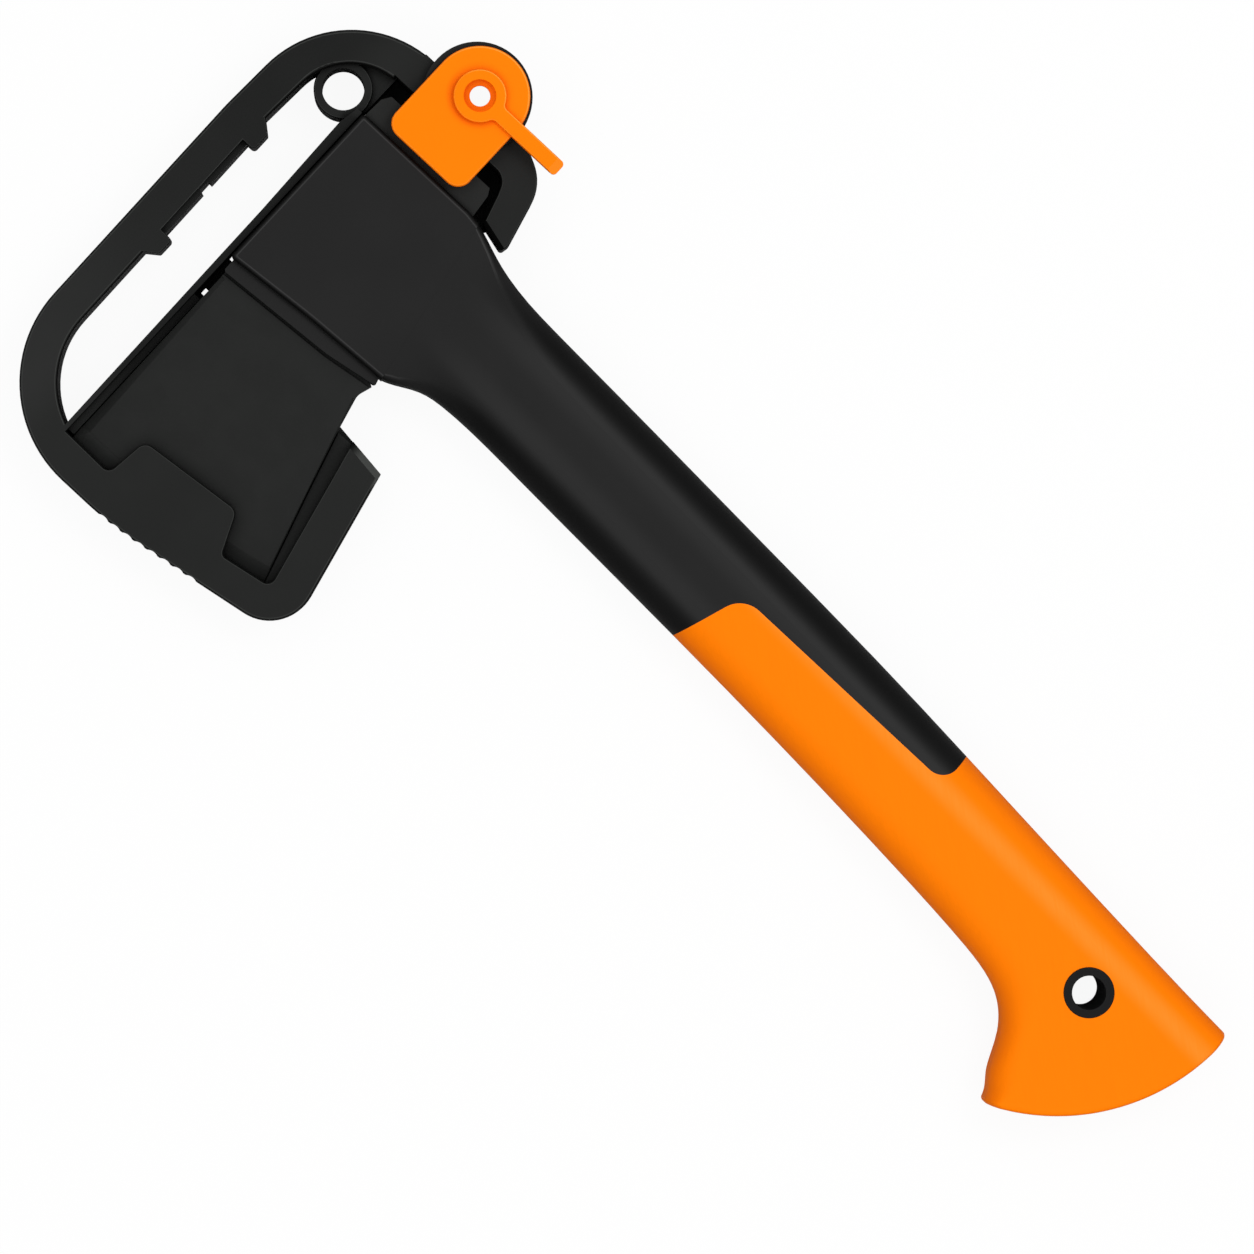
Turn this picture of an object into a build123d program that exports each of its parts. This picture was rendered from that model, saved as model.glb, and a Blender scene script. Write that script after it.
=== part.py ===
"""One-hand chopping hatchet, locked in its moulded carry sheath.

The tool lies on its side on the XY plane: +X runs from the head to the butt, +Y from the
cutting edge to the poll and +Z up.  The origin is under the middle of the whole assembly.
Outlines are drawn about the latch's pivot, on planes parallel to the axe's own mid-plane.
All sizes are in millimetres.
"""

import os
from math import atan, cos, hypot, radians, sin, sqrt, tan

from build123d import *

os.makedirs("parts", exist_ok=True)

# --- Fits and clearances -------------------------------------------------------------
MOVING_GAP = 0.3  # between the latch and anything that it sweeps over
REST_GAP = 0.3  # between the axe and the sheath that carries it
PIVOT_GAP = 0.05  # radial running fit of the latch's stem in the ear
BLADE_GAP = 0.5  # round the cutting edge in its slot

# --- Axe head: one steel forging ------------------------------------------------------
POLL_HALF = 12.0  # half the thickness of the poll and of the body in the moulding
POLL_TOP = -20.8  # striking face of the poll
POLL_LEFT, POLL_RIGHT = -25.0, 26.5  # ends of the poll where it leaves the moulding
POLL_CHAMFER = 2.4
BLADE_TOE = -23.5  # toe side of the blade
BLADE_SHOULDER_HALF = 9.0  # half thickness of the cheeks where the blade leaves the moulding
BEVEL_HALF = 2.4  # half thickness at the grind line
CHEEK_RUN = 34.0  # length over which the poll's thickness falls to the blade's
FLANK_WIDTH, FLANK_SLOPE = 3.2, 0.45  # bevelled side of the blade at the toe
HEEL_FACET, HEEL_SLOPE = 1.2, 1.0  # and its narrow facet at the heel
EDGE_HALF = 0.25  # half thickness left at the very edge
EDGE_CENTRE_X = -13.0  # the edge and the grind line are arcs about one centre
EDGE_LOW = -185.3  # lowest point of the cutting edge
EDGE_RADIUS = 322.0
BEVEL_WIDTH = 7.0
KEY_RADIUS = 5.0  # holes that the moulding flows through
KEY_PLACES = [(-4.0, -52.0), (4.0, -80.0)]

# --- Composite moulding: round the head, and the handle behind it ----------------------
HEAD_HALF = 16.0  # half thickness of the head moulding, which the axe lies on
HEAD_LEFT = -25.8
HEAD_TOP = -31.8  # poll side of the moulding
HEAD_EDGE_FILLET = 2.0
HEAD_LOW_LEFT = -100.2  # blade side of the moulding, at the left end
COLLAR_HALF = 12.2  # lower lip between the moulding and the blade
GROOVE_WIDTH, GROOVE_FLOOR = 1.2, 7.4  # groove in the blade along that lip, and its half thickness
NECK_TOP_X, NECK_TOP = 30.0, -32.7  # where the block turns into the neck, on the poll side
NECK_LOW_X, NECK_LOW = 42.0, -95.6  # and on the blade side
NECK_STEP = 0.1  # how much smaller the neck is than the block that it grows out of

GRIP_SKIN = 2.5  # thickness of the soft overmoulding
SHELL_WALL = 3.5  # wall of the hollow handle under it
HOLLOW_START = 96.0  # the handle is solid from the head to here
PLUG_LENGTH = 12.0  # plug that closes the hollow at the butt
BUTT_X, BUTT_Y, BUTT_RADIUS = 337.7, -65.3, 79.0  # the butt's end is an arc
BUTT_FILLET = 1.6

# --- Lanyard bush ----------------------------------------------------------------------
BUSH_X, BUSH_Y = 369.8, -84.0
BUSH_BORE = 6.0  # radius of the hole for a cord
BUSH_WALL = 1.9
BUSH_FLANGE = 9.0  # radius of the flange at each face
BUSH_FLANGE_THICK = 2.6
BUSH_HALF = HEAD_HALF - 0.2  # half of its length
BUSH_FILLET = 0.5

# --- Sheath -----------------------------------------------------------------------------
SHEATH_FRONT = 10.5  # front face, above the mid-plane
SHEATH_BACK = -15.0  # back face: the axe's moulding keeps it just off the ground
BAR_LEFT = -63.1  # outermost face of the carry bar
BAR_WIDTH = 13.2
TOP_WIDTH = 14.0  # width of the bar along its top
SHEATH_TOP = -1.6  # top of the carry bar
SHEATH_FOOT = -197.3  # lowest face, under the cutting edge
BACK_PLATE = 2.5  # thickness of the plate behind the blade and the poll
EDGE_FILLET = 1.2
STRIP_OUT, STRIP_IN = -29.0, -26.5  # thin wall beside the head
RING_X, RING_Y = -37.1, -30.1  # ring for hanging the sheath up
RING_BORE, RING_OUT = 7.4, 10.4
RING_FRONT = 6.0
RING_FILLET = 0.6
WEB_FRONT = 3.0  # top of the web that ties the ring to the poll's pocket
POCKET_TOP = -14.3  # inner wall of the poll's pocket
POCKET_FLOOR = -POLL_HALF - REST_GAP
EAR_X, EAR_Y, EAR_RADIUS = -0.6, -0.6, 19.3  # round ear under the latch
EAR_THICK = 9.0
CORE_WALL = 2.4  # walls left round the coring in the back of the bar
CORE_RIB = 1.8
CORE_FLOOR = 3.0  # skin left at the bar's front

# --- Latch --------------------------------------------------------------------------------
PLATE_RADIUS = 17.6
PLATE_REACH = 29.7  # pivot to the plate's straight edge
PLATE_CORNER = 5.5
PLATE_THICK = 3.0
RING_BOSS = 9.3  # raised ring round the pivot
BOSS_RISE = 2.4
LEVER_REACH = 37.8
LEVER_WIDTH = 5.8
LEVER_THICK = 4.2
SEAT_RADIUS, SEAT_DEPTH = 5.7, 1.9  # counterbore in the ring
LATCH_BORE = 3.6
LATCH_FLOOR = 1.5  # thickness of the seat's floor, which the eye goes through
STEM_RADIUS = 8.4
STEM_WALL = 1.6
PAD_HALF_WIDTH = 12.0  # pad under the plate that holds the poll down
PAD_NEAR, PAD_FAR = 22.0, 28.8
CLIP_GROOVE = 0.7  # depth of the groove for the retaining clip
CLIP_THICK = 1.2
CLIP_RIM = 1.8  # how far the clip stands out of the stem
CLIP_ROOM = 0.6  # room round the clip, in the back of the pocket's wall
STEM_TAIL = 1.2  # how far the stem goes on behind the clip
PLATE_FILLET, BOSS_FILLET = 1.0, 0.7  # on the front rims of the plate, and of the ring and lever
THUMB_START, THUMB_FALL = 34.6, 1.3  # the lever's end slopes down for the thumb

# --- The frame that everything is placed in ------------------------------------------------
BUTT_RIGHT = BUTT_X + BUTT_RADIUS
EAR_TOP = EAR_Y + EAR_RADIUS
PIVOT_X = -(BAR_LEFT + BUTT_RIGHT) / 2
PIVOT_Y = -(SHEATH_FOOT + EAR_TOP) / 2
MID_PLANE = Plane(origin=(PIVOT_X, PIVOT_Y, HEAD_HALF))

PLATE_UNDER = HEAD_HALF + MOVING_GAP  # the plate swings over the head moulding
PLATE_FRONT = PLATE_UNDER + PLATE_THICK
LATCH_FRONT = PLATE_FRONT + BOSS_RISE
EAR_FRONT = PLATE_UNDER - MOVING_GAP
EAR_BACK = EAR_FRONT - EAR_THICK
CLIP_TOP = EAR_BACK - MOVING_GAP
STEM_END = CLIP_TOP - CLIP_THICK - STEM_TAIL
CLIP_OUT = STEM_RADIUS + CLIP_RIM
BEVEL_RADIUS = EDGE_RADIUS - BEVEL_WIDTH
EDGE_CENTRE_Y = EDGE_LOW + EDGE_RADIUS
FAR = 600.0  # longer than anything here, for cutting tools


def level(height):
    """The drawing plane this far above the axe's mid-plane."""
    return MID_PLANE.offset(height)


# Sections of the neck and the handle, from the head to the butt.  Each has its poll-side
# point, its edge-side point, half its thickness and its corner radius.  The last ones fan
# out round the flare of the knob and run past the butt's arc, which trims them.
HANDLE_SECTIONS = [
    ((NECK_TOP_X - 1, NECK_TOP), (NECK_LOW_X - 1, NECK_LOW), HEAD_HALF - NECK_STEP, HEAD_EDGE_FILLET),
    ((38.0, -35.4), (46.0, -93.7), HEAD_HALF - NECK_STEP, 2.8),
    ((45.5, -37.9), (51.0, -91.0), HEAD_HALF - 0.15, 4.0),
    ((53.0, -39.6), (56.5, -88.8), HEAD_HALF - 0.3, 6.0),
    ((62.0, -40.8), (64.0, -87.7), HEAD_HALF - 0.7, 8.0),
    ((74.0, -41.5), (75.0, -87.4), HEAD_HALF - 1.2, 10.5),
    ((100.0, -42.5), (100.0, -88.2), HEAD_HALF - 1.6, 12.5),
    ((150.0, -44.7), (150.0, -90.2), HEAD_HALF - 1.8, 13.0),
    ((200.0, -47.0), (200.0, -92.3), HEAD_HALF - 1.8, 13.0),
    ((250.0, -49.7), (250.0, -95.0), HEAD_HALF - 1.8, 13.0),
    ((292.0, -52.8), (292.0, -97.9), HEAD_HALF - 1.6, 13.0),
    ((328.0, -55.6), (326.0, -101.0), HEAD_HALF - 1.2, 13.0),
    ((354.0, -57.6), (346.2, -105.6), HEAD_HALF - 0.9, 12.5),
    ((377.0, -59.3), (357.5, -115.8), HEAD_HALF - 0.6, 12.0),
    ((398.0, -60.7), (363.6, -127.8), HEAD_HALF - 0.4, 11.5),
    ((440.0, -63.6), (367.5, -165.0), HEAD_HALF - 0.1, 11.0),
]


def section_plane(top, low):
    """A plane across the handle, through two points of the mid-plane."""
    run_x, run_y = top[0] - low[0], top[1] - low[1]
    length = hypot(run_x, run_y)
    middle = (PIVOT_X + (top[0] + low[0]) / 2, PIVOT_Y + (top[1] + low[1]) / 2, HEAD_HALF)
    return Plane(origin=middle, x_dir=(run_x, run_y, 0), z_dir=(run_y, -run_x, 0)), length


def handle_form(inset, sections):
    """The neck and handle as one smooth solid, its surface moved inwards by inset."""
    with BuildPart() as form:
        for top, low, half, corner in sections:
            plane, length = section_plane(top, low)
            with BuildSketch(plane):
                RectangleRounded(length - 2 * inset, 2 * (half - inset), corner - min(inset, corner - 1))
        loft()
    return form.part


def butt_trim(inset):
    """What lies beyond the butt's arc, moved inwards by inset."""
    with BuildPart() as trim:
        with BuildSketch(level(-FAR / 2)):
            with Locations((BUTT_X, BUTT_Y)):
                Rectangle(FAR, FAR, align=(Align.MIN, Align.CENTER))
                Circle(BUTT_RADIUS - inset, mode=Mode.SUBTRACT)
        extrude(amount=FAR)
    return trim.part


# Side view of the forging: poll, waist in the moulding, and blade.
HEEL_NECK, HEEL_END = (42.5, -117.5), (64.5, EDGE_LOW - 5)
HEAD_OUTLINE = [
    (POLL_LEFT + POLL_CHAMFER, POLL_TOP, 0),
    (POLL_LEFT + 0.4, POLL_TOP - POLL_CHAMFER - 0.8, 0),
    (POLL_LEFT, HEAD_TOP, 0),
    (-21.5, -36.0, 1),
    (-21.5, -96.0, 4),
    (BLADE_TOE, -102.0, 0),
    (BLADE_TOE, EDGE_LOW - 5, 0),
    (*HEEL_END, 0),
    (50.0, -143.0, 30),
    (*HEEL_NECK, 20),
    (39.3, -105.0, 5),
    (41.0, -99.6, 0),
    (33.0, -95.0, 0),
    (22.5, -80.0, 8),
    (22.5, -36.0, 1),
    (POLL_RIGHT, HEAD_TOP, 0),
    (POLL_RIGHT - 1.0, POLL_TOP - POLL_CHAMFER, 0),
    (POLL_RIGHT - POLL_CHAMFER, POLL_TOP, 0),
]


def side_plane(place, along, rise, inward, slope):
    """A plane through place: along one line of the side view it rises by rise, and inward by slope."""
    line = Vector(*along).normalized() + Vector(0, 0, rise)
    across = Vector(*inward).normalized() + Vector(0, 0, slope)
    origin = (PIVOT_X + place[0], PIVOT_Y + place[1], HEAD_HALF + place[2])
    normal = line.cross(across)
    return Plane(origin=origin, z_dir=normal if normal.Z > 0 else -normal)


def outline(corners):
    """A closed shape of straight runs.  Each corner has its x, its y and its radius."""
    with BuildSketch() as shape:
        with BuildLine():
            FilletPolyline(
                *[(x, y) for x, y, _ in corners],
                radius=[radius for _, _, radius in corners],
                close=True,
            )
        make_face()
    return shape.sketch


def head_form(gap):
    """The forging grown by gap: its side view, within a wedge turned about the edge's centre."""
    swing = 30.0  # degrees each side, more than the blade's width
    lean = radians(-swing)
    wedge_plane = Plane(
        origin=(PIVOT_X + EDGE_CENTRE_X, PIVOT_Y + EDGE_CENTRE_Y, HEAD_HALF),
        x_dir=(sin(lean), -cos(lean), 0),
        z_dir=(cos(lean), sin(lean), 0),
    )
    start = EDGE_CENTRE_Y - POLL_TOP - 20
    shoulder = EDGE_CENTRE_Y - HEAD_LOW_LEFT
    half_profile = [
        (start, POLL_HALF + gap),
        (shoulder - CHEEK_RUN, POLL_HALF + gap),
        (shoulder, BLADE_SHOULDER_HALF + gap),
        (BEVEL_RADIUS, BEVEL_HALF + gap),
        (EDGE_RADIUS + gap, EDGE_HALF + gap),
    ]
    mirrored = [(x, -y) for x, y in reversed(half_profile)]
    with BuildPart() as form:
        with BuildSketch(wedge_plane):
            Polygon(*half_profile, *mirrored, align=None)
        revolve(axis=Axis(wedge_plane.origin, (0, 0, 1)), revolution_arc=2 * swing)
        with BuildSketch(level(-FAR / 2)):
            add(outline(HEAD_OUTLINE))
            if gap:
                offset(amount=gap, kind=Kind.INTERSECTION)
        extrude(amount=FAR, mode=Mode.INTERSECT)
    return form.part


# ===== Blade and poll =======================================================================
BLADE_TOP = -107.0  # the blade's sides are bevelled from here down
GRIND_Y = EDGE_LOW + BEVEL_WIDTH
BLADE_FALL = (BLADE_SHOULDER_HALF - BEVEL_HALF) / (HEAD_LOW_LEFT - GRIND_Y)
HEEL_RUN = (HEEL_NECK[0] - HEEL_END[0], HEEL_NECK[1] - HEEL_END[1])
HEEL_GRIND_X = HEEL_END[0] + HEEL_RUN[0] * (GRIND_Y - HEEL_END[1]) / HEEL_RUN[1]
SIDE_BEVELS = [
    side_plane(
        (BLADE_TOE + FLANK_WIDTH, GRIND_Y, BEVEL_HALF),
        (-FLANK_WIDTH / 2, BLADE_TOP - GRIND_Y),
        BLADE_FALL,
        (1, 0),
        FLANK_SLOPE,
    ),
    side_plane(
        (HEEL_GRIND_X - HEEL_FACET, GRIND_Y, BEVEL_HALF), HEEL_RUN, BLADE_FALL, (-1, 0), HEEL_SLOPE
    ),
]

with BuildPart() as side_bevels:
    for plane in SIDE_BEVELS:
        with BuildSketch(plane):
            Rectangle(FAR, FAR)
        extrude(amount=4 * HEAD_HALF)
    with BuildSketch(level(-FAR / 2)):
        with Locations((0, BLADE_TOP)):
            Rectangle(FAR, FAR, align=(Align.CENTER, Align.MAX))
    extrude(amount=FAR, mode=Mode.INTERSECT)
    mirror(about=MID_PLANE)

# Lower lip that the blade comes out of, and the line that it ends on.
COLLAR_LINE = [(HEAD_LEFT + 1.6, -105.2), (22.0, -102.0), (41.6, -98.6)]
GROOVE_OUTLINE = [
    (HEAD_LEFT, COLLAR_LINE[0][1], 0),
    (*COLLAR_LINE[1], 40),
    (*COLLAR_LINE[2], 0),
    (COLLAR_LINE[2][0] + 4, COLLAR_LINE[2][1], 0),
    (COLLAR_LINE[2][0] + 4, COLLAR_LINE[2][1] - GROOVE_WIDTH, 0),
    (COLLAR_LINE[1][0], COLLAR_LINE[1][1] - GROOVE_WIDTH, 40),
    (HEAD_LEFT, COLLAR_LINE[0][1] - GROOVE_WIDTH, 0),
]

with BuildPart() as blade_head:
    add(head_form(0))
    add(side_bevels.part, mode=Mode.SUBTRACT)
    for side in (1, -1):
        with BuildSketch(level(side * GROOVE_FLOOR)):
            add(outline(GROOVE_OUTLINE))
        extrude(amount=side * HEAD_HALF, mode=Mode.SUBTRACT)
    with BuildSketch(level(-FAR / 2)):
        with Locations(*KEY_PLACES):
            Circle(KEY_RADIUS)
    extrude(amount=FAR, mode=Mode.SUBTRACT)
blade_head.part.label = "blade_head"
export_step(blade_head.part, "parts/blade_head.step")


# ===== Handle: outer form, its core, and the grip's share of it ===============================
# Thick block round the head, as far as the neck.
BLOCK_OUTLINE = [
    (HEAD_LEFT, HEAD_TOP, 1.5),
    (NECK_TOP_X - 5.5, HEAD_TOP, 6),
    (NECK_TOP_X, NECK_TOP + NECK_STEP, 0),
    (NECK_LOW_X, NECK_LOW - NECK_STEP, 0),
    (9.0, -97.2, 200),
    (HEAD_LEFT, HEAD_LOW_LEFT, 1.5),
]
COLLAR_OUTLINE = [
    (COLLAR_LINE[0][0], HEAD_TOP - 40, 0),
    (34.0, HEAD_TOP - 40, 0),
    (*COLLAR_LINE[2], 1),
    (*COLLAR_LINE[1], 40),
    (*COLLAR_LINE[0], 1),
]
# Where the soft grip covers the handle: a slanted front, a long straight edge and a step.
GRIP_FRONT_X, GRIP_LINE_Y, GRIP_STEP_X = 186.5, -64.8, 282.4
GRIP_OUTLINE = [
    (GRIP_FRONT_X - 13.0, GRIP_LINE_Y - 40.3, 0),
    (GRIP_FRONT_X, GRIP_LINE_Y, 10),
    (GRIP_STEP_X, GRIP_LINE_Y, 7),
    (GRIP_STEP_X + 0.7, GRIP_LINE_Y + 40, 0),
    (BUTT_RIGHT + 20, GRIP_LINE_Y + 40, 0),
    (BUTT_RIGHT + 20, GRIP_LINE_Y - 110, 0),
    (GRIP_FRONT_X - 13.0, GRIP_LINE_Y - 110, 0),
]


def bush_form(bore):
    """Flanged tube across the knob, solid where bore is 0."""
    with BuildPart() as form:
        for side in (1, -1):
            with BuildSketch(level(side * (BUSH_HALF - BUSH_FLANGE_THICK))):
                with Locations((BUSH_X, BUSH_Y)):
                    Circle(BUSH_FLANGE)
            extrude(amount=side * BUSH_FLANGE_THICK)
        with BuildSketch(level(-BUSH_HALF)):
            with Locations((BUSH_X, BUSH_Y)):
                Circle(BUSH_BORE + BUSH_WALL)
        extrude(amount=2 * BUSH_HALF)
        if bore:
            rims = form.edges().filter_by(GeomType.CIRCLE).group_by(Axis.Z)
            fillet(rims[0] + rims[-1], BUSH_FILLET)
            with BuildSketch(level(-BUSH_HALF)):
                with Locations((BUSH_X, BUSH_Y)):
                    Circle(bore)
            extrude(amount=2 * BUSH_HALF, mode=Mode.SUBTRACT)
    return form.part


with BuildPart() as outer_form:
    add(handle_form(0, HANDLE_SECTIONS))
    add(butt_trim(0), mode=Mode.SUBTRACT)
    butt_face = outer_form.faces().filter_by(GeomType.CYLINDER)
    fillet(butt_face.edges(), BUTT_FILLET)

with BuildPart() as core_form:
    add(handle_form(GRIP_SKIN, HANDLE_SECTIONS))
    add(butt_trim(GRIP_SKIN), mode=Mode.SUBTRACT)

with BuildPart() as hollow_form:
    add(handle_form(GRIP_SKIN + SHELL_WALL, HANDLE_SECTIONS))
    with BuildSketch(level(-FAR / 2)):
        with Locations((HOLLOW_START, 0)):
            Rectangle(FAR, FAR, align=(Align.MAX, Align.CENTER))
    extrude(amount=FAR, mode=Mode.SUBTRACT)

with BuildPart() as grip_sleeve:
    add(outer_form.part)
    with BuildSketch(level(-FAR / 2)):
        add(outline(GRIP_OUTLINE))
    extrude(amount=FAR, mode=Mode.INTERSECT)
    add(core_form.part, mode=Mode.SUBTRACT)
    add(bush_form(0), mode=Mode.SUBTRACT)
grip_sleeve.part.label = "grip_sleeve"
export_step(grip_sleeve.part, "parts/grip_sleeve.step")

with BuildPart() as handle_shell:
    with BuildSketch(level(-HEAD_HALF)):
        add(outline(BLOCK_OUTLINE))
    extrude(amount=2 * HEAD_HALF)
    block_edges = handle_shell.edges().filter_by(Plane.XY).group_by(Axis.Z)
    face_edges = block_edges[0] + block_edges[-1]
    neck_edges = face_edges.filter_by(GeomType.LINE).sort_by(lambda edge: -edge.center().X)[:2]
    fillet([edge for edge in face_edges if edge not in neck_edges], HEAD_EDGE_FILLET)
    with BuildSketch(level(-COLLAR_HALF)):
        add(outline(COLLAR_OUTLINE))
    extrude(amount=2 * COLLAR_HALF)
    add(outer_form.part)
    add(grip_sleeve.part, mode=Mode.SUBTRACT)
    add(hollow_form.part, mode=Mode.SUBTRACT)
    add(blade_head.part, mode=Mode.SUBTRACT)
    add(bush_form(0), mode=Mode.SUBTRACT)
handle_shell.part.label = "handle_shell"
export_step(handle_shell.part, "parts/handle_shell.step")

# ===== Plug that closes the hollow handle, under the grip's end ===============================
with BuildPart() as butt_plug:
    add(hollow_form.part)
    add(butt_trim(GRIP_SKIN), mode=Mode.SUBTRACT)
    with BuildSketch(level(-FAR / 2)):
        with Locations((BUTT_X, BUTT_Y)):
            Circle(BUTT_RADIUS - GRIP_SKIN - PLUG_LENGTH)
            Rectangle(FAR, FAR, align=(Align.MAX, Align.CENTER))
    extrude(amount=FAR, mode=Mode.SUBTRACT)
butt_plug.part.label = "butt_plug"
export_step(butt_plug.part, "parts/butt_plug.step")

with BuildPart() as lanyard_bush:
    add(bush_form(BUSH_BORE))
lanyard_bush.part.label = "lanyard_bush"
export_step(lanyard_bush.part, "parts/lanyard_bush.step")

# ===== Sheath: carry bar, edge channel, poll pocket with its hook, ring and ear ================
BAR_IN = BAR_LEFT + BAR_WIDTH
BAR_SIDE_LOW = BAR_LEFT + 1.4  # the bar's side leans in a little towards the foot
FOOT_CORNER = 46.5
TOP_CORNER = 42.5
TOP_INNER = 24.0  # inner radius there, which stays clear of the ring's bore
GUARD_X, GUARD_Y = 64.3, -119.9  # top of the guard beside the heel
GUARD_LEAN = 0.235  # run of its side for each unit of drop
HEEL_WALL_X = 49.6  # inner wall of the guard, at its top
GUARD_BACK = 7.5  # how far its top runs on behind the blade
CHANNEL_TOP = -117.2  # upper edge of the plate behind the blade, at the heel
CHANNEL_TOP_TOE = -111.5  # and at the toe
FOOT_BEND_X, FOOT_BEND_RADIUS = 8.0, 150.0


def guard_side(y):
    """The guard's outer side at this height."""
    return GUARD_X + (GUARD_Y - y) * GUARD_LEAN


FOOT_RIGHT_Y = SHEATH_FOOT + 12.1
LOOP_OUTLINE = [
    (10.0, SHEATH_TOP, 0),
    (BAR_LEFT + 2.2, SHEATH_TOP, TOP_CORNER),
    (BAR_LEFT, -62.0, 100),
    (BAR_SIDE_LOW, SHEATH_FOOT, FOOT_CORNER),
    (FOOT_BEND_X, SHEATH_FOOT, FOOT_BEND_RADIUS),
    (guard_side(FOOT_RIGHT_Y), FOOT_RIGHT_Y, 16.5),
    (GUARD_X, GUARD_Y, 0),
    (HEEL_WALL_X - GUARD_BACK, CHANNEL_TOP, 0),
    (BLADE_TOE + 8.0, CHANNEL_TOP_TOE, 0),
    (BLADE_TOE + 3.0, HEAD_LOW_LEFT - REST_GAP - 0.3, 0),
    (STRIP_IN, HEAD_LOW_LEFT - REST_GAP, 0),
    (STRIP_IN, HEAD_TOP - 1.0, 0),
    (STRIP_IN, POCKET_TOP, 0),
    (10.0, POCKET_TOP, 0),
]
# The hand opening: what the bar encloses, up to the thin wall beside the head.
HAND_OUTLINE = [
    (BAR_IN + 2.2, SHEATH_TOP - TOP_WIDTH, TOP_INNER),
    (BAR_IN, -60.0, 100),
    (BAR_SIDE_LOW + BAR_WIDTH, SHEATH_FOOT + BAR_WIDTH, FOOT_CORNER - BAR_WIDTH),
    (-10.0, SHEATH_FOOT + BAR_WIDTH, 0),
    (-10.0, SHEATH_TOP - TOP_WIDTH, 0),
]
STRIP_OUTLINE = [
    (STRIP_OUT + 1.0, SHEATH_FOOT, 0),
    (STRIP_OUT, -80.0, 0),
    (STRIP_OUT - 1.0, HEAD_TOP - 8.0, 0),
    (STRIP_OUT + 0.3, HEAD_TOP, 0),
    (0.0, HEAD_TOP, 0),
    (0.0, SHEATH_FOOT, 0),
]
# The front of the edge channel: a tab over the middle of the edge, open at toe and heel.
TAB_TOP, TAB_LEFT, TAB_RIGHT = -165.0, -5.0, 42.2
CAVITY_OUTLINE = [
    (STRIP_IN, CHANNEL_TOP_TOE + 20, 0),
    (STRIP_IN, EDGE_LOW + 1.5, 0),
    (TAB_LEFT - 0.6, EDGE_LOW + 1.0, 3),
    (TAB_LEFT + 1.2, TAB_TOP - 2.6, 4),
    (TAB_RIGHT - 6.0, TAB_TOP + 1.6, 4),
    (TAB_RIGHT + 0.8, TAB_TOP - 13.6, 2),
    (TAB_RIGHT + 20.6, TAB_TOP - 10.0, 3),
    (HEEL_WALL_X, CHANNEL_TOP - 1.5, 0),
    (HEEL_WALL_X - 4.7, CHANNEL_TOP + 20, 0),
]
# Shallow ledges beside the blade, at its toe and at its heel.
SIDE_LEDGE_FRONT = 1.0
TOE_LEDGE = [
    (STRIP_IN - 1, CHANNEL_TOP_TOE - 6.5, 0),
    (BLADE_TOE + 3, CHANNEL_TOP_TOE - 6.5, 0),
    (BLADE_TOE + 3, EDGE_LOW + 2.5, 0),
    (STRIP_IN - 1, EDGE_LOW + 2.5, 0),
]
HEEL_LEDGE = [
    (HEEL_NECK[0] - 2, CHANNEL_TOP - 2.0, 0),
    (HEEL_WALL_X + 1, CHANNEL_TOP - 2.0, 0),
    (TAB_RIGHT + 21.6, TAB_TOP - 9.0, 0),
    (TAB_RIGHT + 10.0, TAB_TOP - 13.0, 0),
]
GUARD_BEVEL = 2.4  # sloped end of the guard
GUARD_WIDTH, GUARD_DROP = 30.0, 15.0  # part of the sheath that the slope may cut
# Scallops along the foot, for the fingers.
SCALLOPS = 8
SCALLOP_START, SCALLOP_PITCH = 4.0, 5.3
SCALLOP_RADIUS, SCALLOP_DEPTH = 4.0, 0.6
# Pocket for the poll, with the hook that reaches round its far end.
HOOK_TIP_X, HOOK_TIP_Y = 42.0, -34.2
HOOK_BEVEL = 1.6  # sloped end of the hook
POCKET_RIGHT = POLL_RIGHT + 1.3
HOOK_OUTLINE = [
    (-24.0, SHEATH_TOP, 0),
    (-24.0, POCKET_TOP, 0),
    (POCKET_RIGHT - 2.5, POCKET_TOP, 6),
    (POCKET_RIGHT, POLL_TOP, 3),
    (POCKET_RIGHT + 3.2, HEAD_TOP + 0.4, 0.5),
    (HOOK_TIP_X, HOOK_TIP_Y, 1.2),
    (HOOK_TIP_X + 0.7, HOOK_TIP_Y + 3.4, 3),
    (36.6, -7.3, 17),
    (18.0, 2.0, 0),
    (6.0, SHEATH_TOP, 0),
]
POCKET_FLOOR_OUTLINE = [
    (STRIP_IN, POCKET_TOP + 1, 0),
    (STRIP_IN, HEAD_TOP + 3.3, 0),
    (STRIP_IN + 3.0, HEAD_TOP + REST_GAP, 0),
    (NECK_TOP_X - 6.0, HEAD_TOP + REST_GAP, 0),
    (NECK_TOP_X, NECK_TOP + 0.5, 0),
    (NECK_TOP_X + 2.5, NECK_TOP - 0.3, 0),
    (NECK_TOP_X + 4.0, HEAD_TOP + 1.5, 0),
    (NECK_TOP_X + 4.0, POCKET_TOP + 1, 0),
]
WEB_OUTLINE = [
    (RING_X - 6.0, RING_Y + 6.0, 0),
    (RING_X + 6.0, RING_Y - 6.0, 0),
    (STRIP_IN + 0.5, HEAD_TOP + 1.5, 0),
    (STRIP_IN + 0.5, POCKET_TOP + 1.0, 0),
    (STRIP_IN - 8.0, SHEATH_TOP - TOP_WIDTH + 2, 0),
]
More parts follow.
